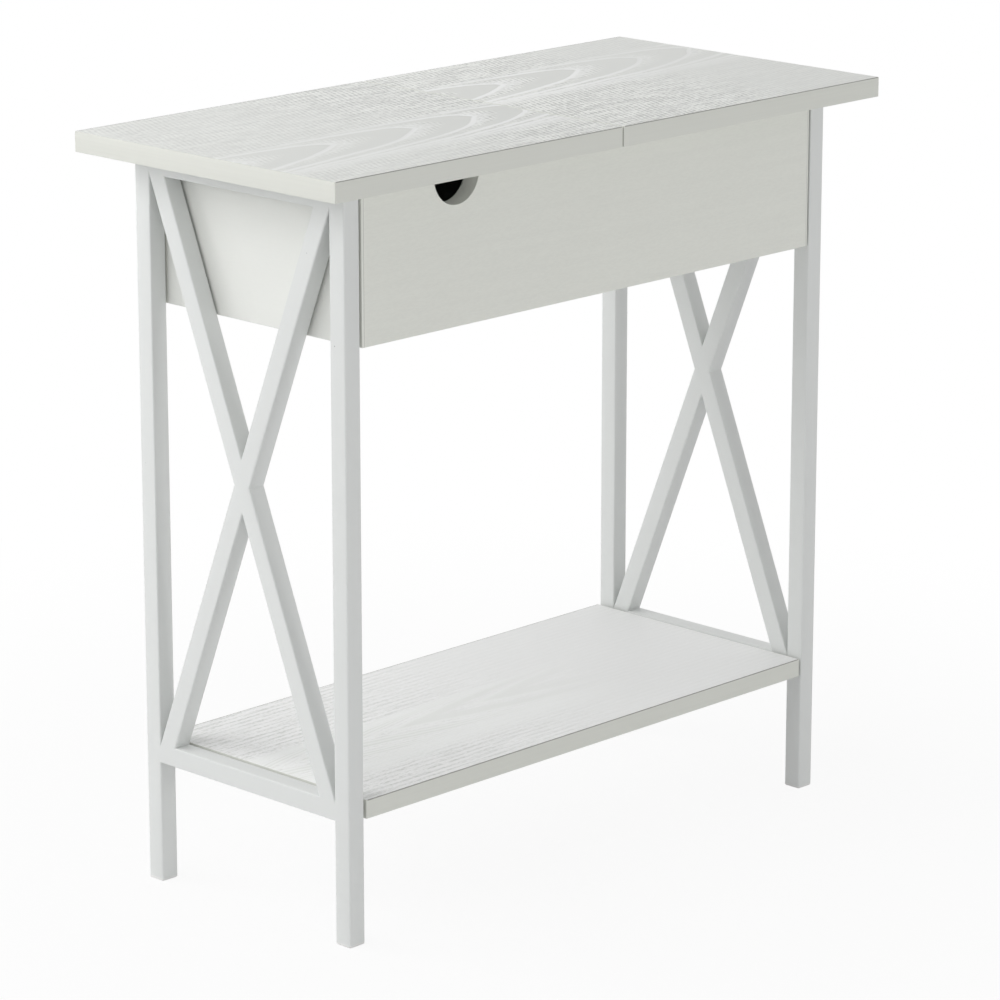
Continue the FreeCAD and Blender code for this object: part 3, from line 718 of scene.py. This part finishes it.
def hinge_screws(part, body, material):
    """The screws of a hinge leaf on every hinge, placed by the boxes of the solid screws and of the leaves.

    Those in the box face the rear and those in the lid face down.
    """
    low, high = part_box(f"{part}_hinge_screws")
    axis, across = {"box": (1, 2), "lid": (2, 1)}[part]
    radius = (high[across] - low[across]) / 2
    grid = cross_screw(radius, high[axis] - low[axis])
    turned = grid[..., [0, 2, 1]] * (-1, 1, 1) if part == "box" else grid * (-1, 1, -1)
    face = np.array((low + high) / 2)
    face[axis] = high[axis] if part == "box" else low[axis]
    middles = [sum(corner.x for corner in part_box(f"{side}_hinge_{part}_leaf")) / 2 for side in SIDES]
    reach = middles[0] - low.x - radius
    faces = capped_faces(*grid.shape[:2])
    points, every = [], []
    for x in (middle + way * reach for middle in middles for way in (-1, 1)):
        start = len(points) * grid.shape[0] * grid.shape[1]
        every += [[index + start for index in one] for one in faces]
        points.append(turned + (x, *face[1:]))
    put(f"{part}_cross_screws", np.array(points), every, material, "zinc_steel", body,
        [f"{part}_hinge_screws"])


# Pieces


def shared(finish, settings):
    """A finish that several pieces share, made the first time that it is asked for."""
    return bpy.data.materials.get(finish.__name__) or finish(settings)


class ENDTABLE_OT_frames(bpy.types.Operator):
    """Cover the tubes of each end frame with one coated skin"""

    bl_idname = "end_table.frames"
    bl_label = "End frames"

    def execute(self, context):
        settings = context.scene.end_table.frame
        coat = shared(powder_coat, settings)
        for side in SIDES:
            skin = frame_surface(*frame_outline(side), settings.corner)
            put(f"{side}_end_frame", *skin, coat, "white_steel", "table",
                [f"{side}_{tube}" for tube in TUBES])
        return {"FINISHED"}


class ENDTABLE_OT_feet(bpy.types.Operator):
    """Finish the plastic plugs in the legs"""

    bl_idname = "end_table.feet"
    bl_label = "Feet"

    def execute(self, context):
        plastic = shared(foot_plastic, context.scene.end_table.hardware)
        dress(plastic, *(f"{side}_{end}_foot" for side in SIDES for end in ("front", "rear")))
        return {"FINISHED"}


class ENDTABLE_OT_top(bpy.types.Operator):
    """Make the lid and the fixed half of the top as foiled boards with edge bands"""

    bl_idname = "end_table.top"
    bl_label = "Lid and fixed top"

    def execute(self, context):
        settings = context.scene.end_table.board
        for node, body, grain in (("lid", "lid", LID_GRAIN), ("fixed_top", "table", FIXED_GRAIN)):
            banded_board(node, body, settings, figured_foil(node, settings.top, settings, grain))
        return {"FINISHED"}


class ENDTABLE_OT_box(bpy.types.Operator):
    """Finish the panels and the floor of the storage box"""

    bl_idname = "end_table.box"
    bl_label = "Storage box"

    def execute(self, context):
        settings = context.scene.end_table.board
        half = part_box("front_panel")[1].x
        long_foil = plain_foil("long_panel_foil", settings.panel, settings, "X", contrast=0.3, half=half)
        end_foil = plain_foil("end_panel_foil", settings.end, settings, "Y", contrast=0.1)
        floor_foil = plain_foil("floor_foil", settings.end, settings, "X", contrast=0.2)
        dress(long_foil, "front_panel", "rear_panel")
        dress(end_foil, "left_end_panel", "right_end_panel")
        dress(floor_foil, "box_floor")
        return {"FINISHED"}


class ENDTABLE_OT_shelf(bpy.types.Operator):
    """Make the shelf as a foiled board, with its coated brackets and their screws"""

    bl_idname = "end_table.shelf"
    bl_label = "Shelf"

    def execute(self, context):
        table = context.scene.end_table
        # The shelf foil's colour is painted lighter than the top's, standing in for the light that the box
        # keeps off the shelf
        foil = figured_foil("shelf", table.board.shelf, table.board, SHELF_GRAIN)
        banded_board("shelf", "table", table.board, foil)
        dress(shared(powder_coat, table.frame), "left_shelf_brackets", "right_shelf_brackets")
        dress(shared(plated_steel, table.hardware), "shelf_screws")
        return {"FINISHED"}


class ENDTABLE_OT_hinges(bpy.types.Operator):
    """Finish the butt hinges and make their cross-head screws"""

    bl_idname = "end_table.hinges"
    bl_label = "Hinges"

    def execute(self, context):
        zinc = shared(plated_steel, context.scene.end_table.hardware)
        dress(zinc, *(f"{side}_hinge_{part}" for side in SIDES for part in ("box_leaf", "lid_leaf", "pin")))
        hinge_screws("box", "table", zinc)
        hinge_screws("lid", "lid", zinc)
        return {"FINISHED"}


class ENDTABLE_OT_fittings(bpy.types.Operator):
    """Finish the bolts, inserts, cam fittings and dowels"""

    bl_idname = "end_table.fittings"
    bl_label = "Fittings"

    def execute(self, context):
        settings = context.scene.end_table.hardware
        dress(shared(plated_steel, settings), "frame_inserts", "frame_washers", "frame_bolts", "cam_bolts")
        dress(shared(cast_alloy, settings), "cam_locks")
        dress(shared(bare_beech, settings), "dowels")
        return {"FINISHED"}


# Stage


def seen(value):
    """1 for rays from the camera, from gloss and through glass, 0 for light that falls on the table."""
    camera, glossy, through = (value.node("ShaderNodeLightPath", {}, {}, output=name)
                               for name in ("Is Camera Ray", "Is Glossy Ray", "Is Transmission Ray"))
    return camera.math("MAXIMUM", glossy).math("MAXIMUM", through)


def white_world(horizon, zenith):
    """A world that looks white and lights the table evenly, a little more from straight above."""
    world = bpy.data.worlds.new("studio")
    world.use_nodes = True
    tree = world.node_tree
    background = tree.nodes["Background"]
    background.inputs["Color"].default_value = (1.0, 1.0, 1.0, 1.0)
    way = Value(tree, tree.nodes.new("ShaderNodeTexCoord").outputs["Generated"])
    light = way.axis("Z").math("MAXIMUM", 0.0).between(horizon, zenith)
    strength = light + (1.0 - light) * seen(way)
    tree.links.new(strength.socket, background.inputs["Strength"])
    bpy.context.scene.world = world


def pale_floor(settings):
    """A floor that keeps a light shadow near the table and fades to white away from it."""
    corners = np.array([(-1, -1, 0), (1, -1, 0), (1, 1, 0), (-1, 1, 0)]) * FLOOR_REACH
    mesh = bpy.data.meshes.new("floor")
    mesh.from_pydata(corners.tolist(), [], [(0, 1, 2, 3)])
    material, place = new_material("pale_floor")
    finish_material(material, {"Base Color": (*settings.floor, 1.0), "Roughness": 0.9})
    tree = material.node_tree
    away = (place.axis("X") * place.axis("X") + place.axis("Y") * place.axis("Y")).math("SQRT")
    share = seen(place) * away.step(*FLOOR_FADE).between(FLOOR_WHITE, 1.0)
    glow = place.node("ShaderNodeEmission", {}, {"Strength": 1.0})
    surface = Value(tree, tree.nodes["Principled BSDF"].outputs[0])
    blend = place.node("ShaderNodeMixShader", {}, {0: share, 1: surface, 2: glow})
    tree.links.new(blend.socket, tree.nodes["Material Output"].inputs["Surface"])
    mesh.materials.append(material)
    floor = bpy.data.objects.new("floor", mesh)
    bpy.context.collection.objects.link(floor)


def soft_lamp(name, lamp, strength):
    """A square lamp aimed at the table; its power gives the strength there whatever its distance."""
    light = bpy.data.lights.new(name, "AREA")
    light.size = lamp.size
    way = np.subtract(LAMP_TARGET, lamp.place)
    distance = np.linalg.norm(way)
    light.energy = strength * math.pi ** 2 * distance ** 2
    holder = bpy.data.objects.new(name, light)
    holder.location = lamp.place
    flat = math.hypot(way[0], way[1])
    holder.rotation_euler = (math.atan2(flat, -way[2]), 0.0, math.atan2(-way[0], way[1]))
    bpy.context.collection.objects.link(holder)


class ENDTABLE_OT_stage(bpy.types.Operator):
    """Set up the floor, the light and the camera"""

    bl_idname = "end_table.stage"
    bl_label = "Stage"

    def execute(self, context):
        settings = context.scene.end_table.stage
        white_world(settings.horizon, settings.zenith)
        pale_floor(settings)
        for name, lamp in LAMPS.items():
            soft_lamp(f"{name}_lamp", lamp, getattr(settings, name))
        lens = bpy.data.cameras.new("camera")
        lens.sensor_width = SENSOR
        lens.lens = LENS
        camera = bpy.data.objects.new("camera", lens)
        camera.location = CAMERA_PLACE
        camera.rotation_euler = (math.pi / 2 - CAMERA_TILT, 0.0, CAMERA_TURN)
        context.collection.objects.link(camera)
        context.scene.camera = camera
        context.scene.view_settings.view_transform = "Standard"
        return {"FINISHED"}


class ENDTABLE_PT_panel(bpy.types.Panel):
    """The steps that dress the table, and its settings"""

    bl_label = "End Table"
    bl_space_type = "VIEW_3D"
    bl_region_type = "UI"
    bl_category = "End Table"

    def draw(self, context):
        for operator in OPERATORS:
            self.layout.operator(operator.bl_idname)
        table = context.scene.end_table
        for group in (table.frame, table.board, table.hardware, table.stage):
            column = self.layout.column()
            for name in type(group).__annotations__:
                column.prop(group, name)


OPERATORS = (ENDTABLE_OT_stage, ENDTABLE_OT_frames, ENDTABLE_OT_feet, ENDTABLE_OT_top, ENDTABLE_OT_box,
             ENDTABLE_OT_shelf, ENDTABLE_OT_hinges, ENDTABLE_OT_fittings)
CLASSES = (FrameSettings, BoardSettings, HardwareSettings, StageSettings, EndTableSettings, *OPERATORS,
           ENDTABLE_PT_panel)


def register():
    for item in CLASSES:
        bpy.utils.register_class(item)
    bpy.types.Scene.end_table = bpy.props.PointerProperty(type=EndTableSettings)


def unregister():
    del bpy.types.Scene.end_table
    for item in reversed(CLASSES):
        bpy.utils.unregister_class(item)


def main():
    register()
    for operator in OPERATORS:
        group, name = operator.bl_idname.split(".")
        getattr(getattr(bpy.ops, group), name)()


if __name__ == "__main__":
    main()
